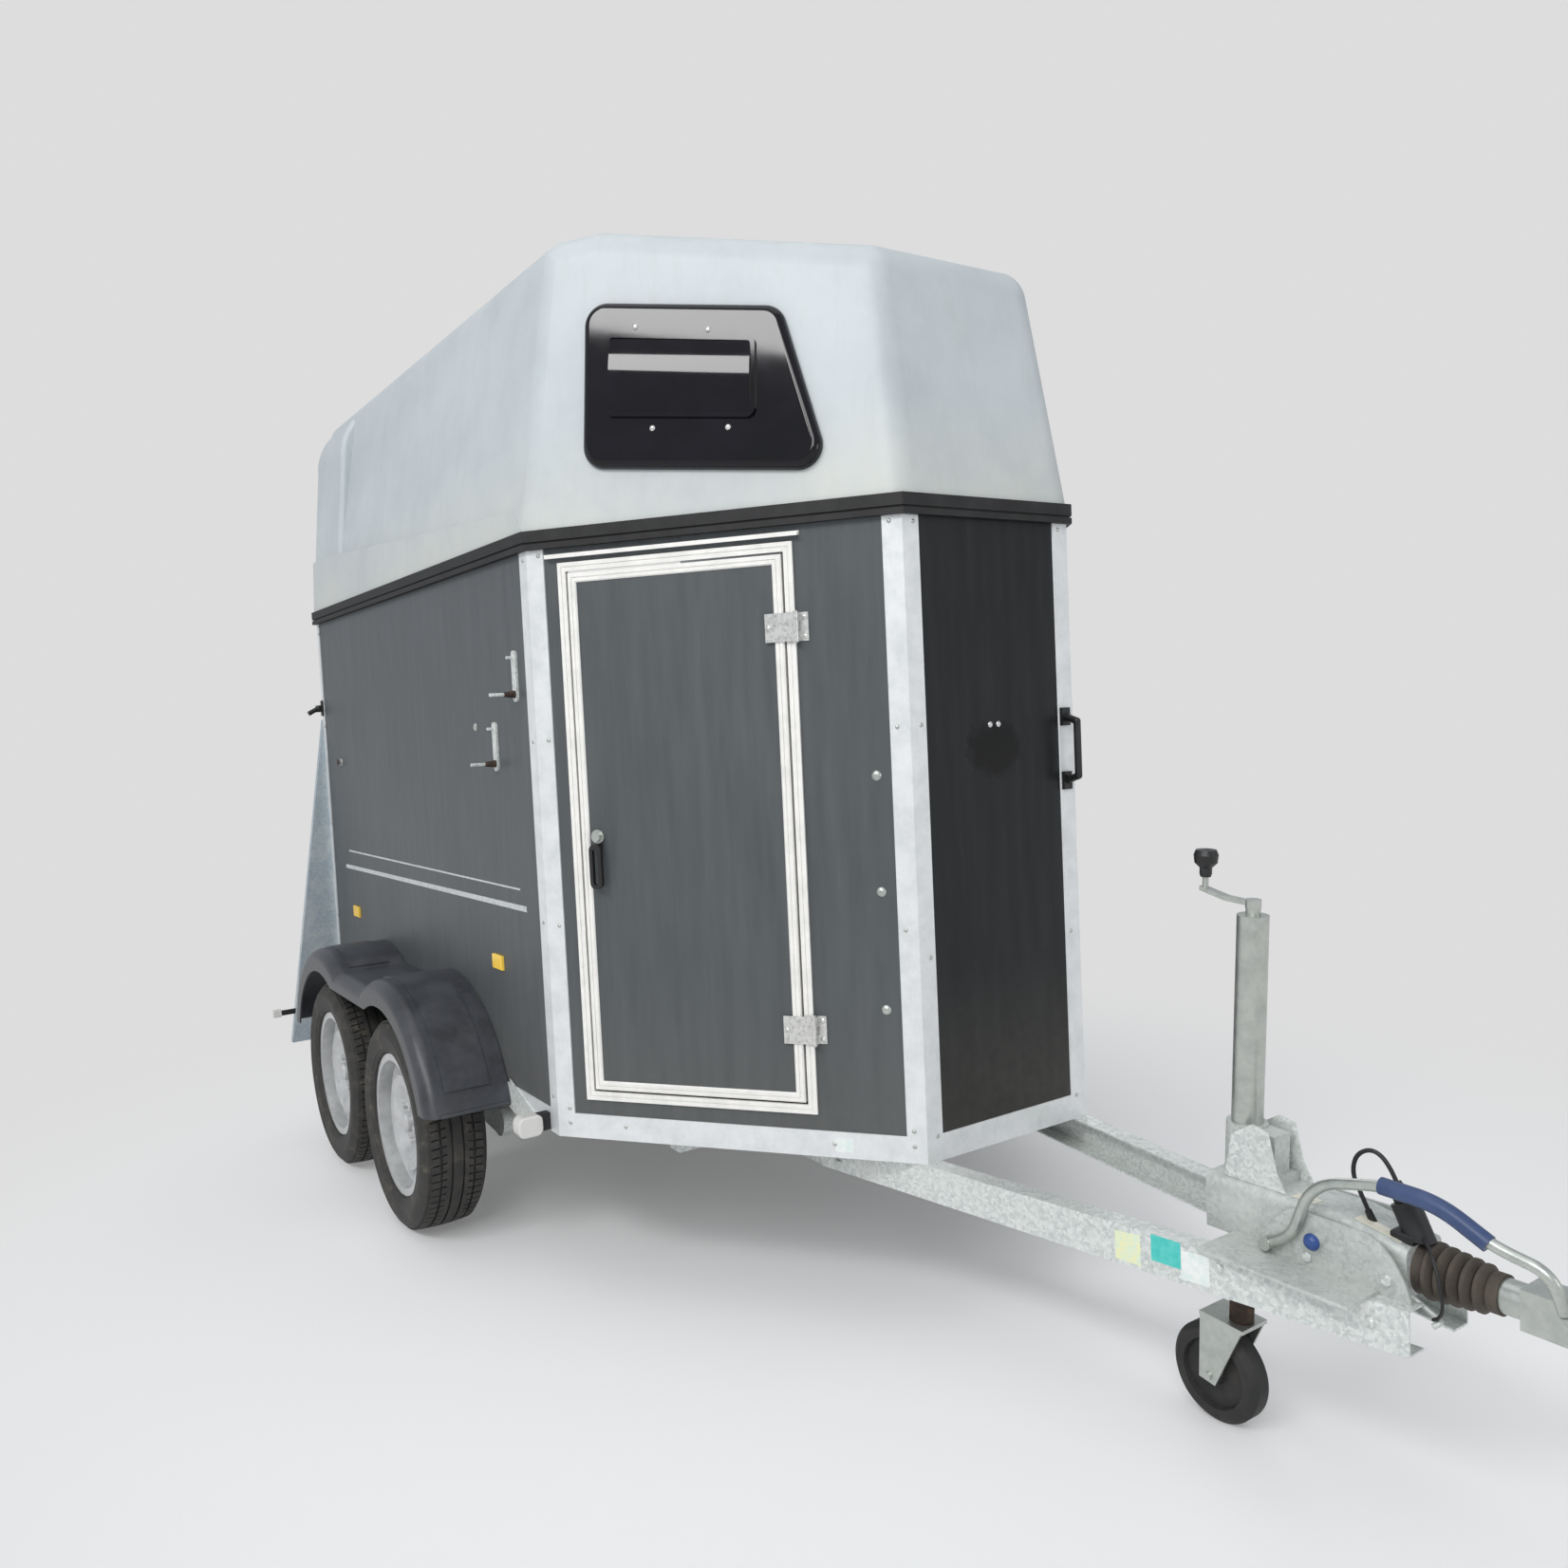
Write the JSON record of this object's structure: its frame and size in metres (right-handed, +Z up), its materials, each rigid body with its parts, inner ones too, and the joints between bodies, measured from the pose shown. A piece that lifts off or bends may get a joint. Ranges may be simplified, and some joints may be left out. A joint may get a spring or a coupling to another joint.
{
  "type": "horse trailer",
  "caption": "Tandem horse trailer with laminate walls, a moulded hood, a rear ramp, a slanted groom's door and an overrun drawbar on a jockey wheel.",
  "frame": {"origin": "middle of the trailer's box on the floor, on the centre line", "axes": "+X forward to the coupling, +Y left, +Z up"},
  "size_m": [4.351, 2.18, 2.7218],
  "materials": {
    "wall_laminate": "satin grey laminate",
    "aluminium_profile": "natural anodised",
    "black_trim": "matt",
    "floor_ply": "phenolic coated plywood",
    "grp": "gelcoat, dulled",
    "smoked_window": "smoked acrylic",
    "galvanised": "hot-dip galvanised, spangled",
    "zinc_plated": "zinc plated, dulled",
    "rusty_steel": "rusted",
    "fork_steel": "zinc plated",
    "tyre": "rubber",
    "wheel_silver": "silver paint",
    "guard_plastic": "moulded, grained",
    "lamp_lens": "clear red",
    "marker_lens": "clear white",
    "amber_reflector": "prismatic amber",
    "latch_black": "moulded",
    "jockey_rubber": "solid rubber on a plastic hub",
    "bellows_rubber": "dusty",
    "grip_blue": "moulded sleeve",
    "cable_black": "flexible pvc"
  },
  "bodies": {
    "trailer": {"side_wall_right": "wall_laminate", "slant_wall_right": "wall_laminate", "nose_wall": "wall_laminate", "slant_wall_left": "wall_laminate", "side_wall_left": "wall_laminate", "corner_posts": "aluminium_profile", "bottom_rails": "aluminium_profile", "trim_band": "black_trim", "floor_board": "floor_ply", "hood": "grp", "windows": "smoked_window", "door_surround": "aluminium_profile", "hinge_wall_leaves": "aluminium_profile", "axles": "galvanised", "drawbar_beams": "galvanised", "chassis_rails": "galvanised", "mudguards": "guard_plastic", "guard_brackets": "galvanised", "rear_wings": "galvanised", "tail_lamps": "lamp_lens", "marker_lamps": "marker_lens", "ramp_hinges": "galvanised", "ramp_latches": "latch_black", "roller_case": "aluminium_profile", "side_reflectors": "amber_reflector", "release_levers": "galvanised", "stall_fittings": "galvanised", "grab_handle": "latch_black", "jack_outer": "zinc_plated", "jack_crank": "zinc_plated", "crank_knob": "latch_black", "jack_clamp": "galvanised", "overrun_housing": "galvanised", "bellows": "bellows_rubber", "coupling_head": "zinc_plated", "handbrake_lever": "zinc_plated", "lever_grip": "grip_blue", "plug": "cable_black", "cable_fittings": "cable_black", "light_cable": "cable_black", "breakaway_cable": "cable_black"},
    "wheel_front_right": {"tyre_front_right": "tyre", "rim_front_right": "wheel_silver"},
    "wheel_front_left": {"tyre_front_left": "tyre", "rim_front_left": "wheel_silver"},
    "wheel_rear_right": {"tyre_rear_right": "tyre", "rim_rear_right": "wheel_silver"},
    "wheel_rear_left": {"tyre_rear_left": "tyre", "rim_rear_left": "wheel_silver"},
    "door": {"door_frame": "aluminium_profile", "door_panel": "wall_laminate", "hinge_door_leaves": "aluminium_profile", "door_lock": "zinc_plated", "door_handle": "black_trim"},
    "ramp": {"ramp_panel": "wall_laminate", "ramp_frame": "aluminium_profile"},
    "jack_leg": {"jack_inner": "rusty_steel"},
    "jack_swivel": {"jack_fork": "fork_steel"},
    "jack_roller": {"jockey_wheel": "jockey_rubber"}
  },
  "joints": [
    {"name": "spin_front_right", "type": "hinge", "parent": "trailer", "child": "wheel_front_right", "pos_m": [-0.72694, -0.956, 0.31], "axis": [0, 1, 0], "continuous": true},
    {"name": "spin_front_left", "type": "hinge", "parent": "trailer", "child": "wheel_front_left", "pos_m": [-0.72694, 0.956, 0.31], "axis": [0, 1, 0], "continuous": true},
    {"name": "spin_rear_right", "type": "hinge", "parent": "trailer", "child": "wheel_rear_right", "pos_m": [-1.43194, -0.956, 0.31], "axis": [0, 1, 0], "continuous": true},
    {"name": "spin_rear_left", "type": "hinge", "parent": "trailer", "child": "wheel_rear_left", "pos_m": [-1.43194, 0.956, 0.31], "axis": [0, 1, 0], "continuous": true},
    {"name": "door_swing", "type": "hinge", "parent": "trailer", "child": "door", "pos_m": [0.58285, -0.42372, 1.2], "axis": [0, 0, 1], "range_deg": [0, 110]},
    {"name": "ramp_drop", "type": "hinge", "parent": "trailer", "child": "ramp", "pos_m": [-2.16444, 0, 0.44], "axis": [0, -1, 0], "range_deg": [0, 112]},
    {"name": "jack_wind", "type": "slide", "parent": "trailer", "child": "jack_leg", "axis": [0.061, 0, 0.9981], "range_m": [-0.06, 0.14]},
    {"name": "jack_caster", "type": "hinge", "parent": "jack_leg", "child": "jack_swivel", "pos_m": [1.43256, 0, 0.505], "axis": [0.061, 0, 0.9981], "continuous": true},
    {"name": "jack_roll", "type": "hinge", "parent": "jack_swivel", "child": "jack_roller", "pos_m": [1.36271, 0, 0.1], "axis": [0, 1, 0], "continuous": true}
  ]
}
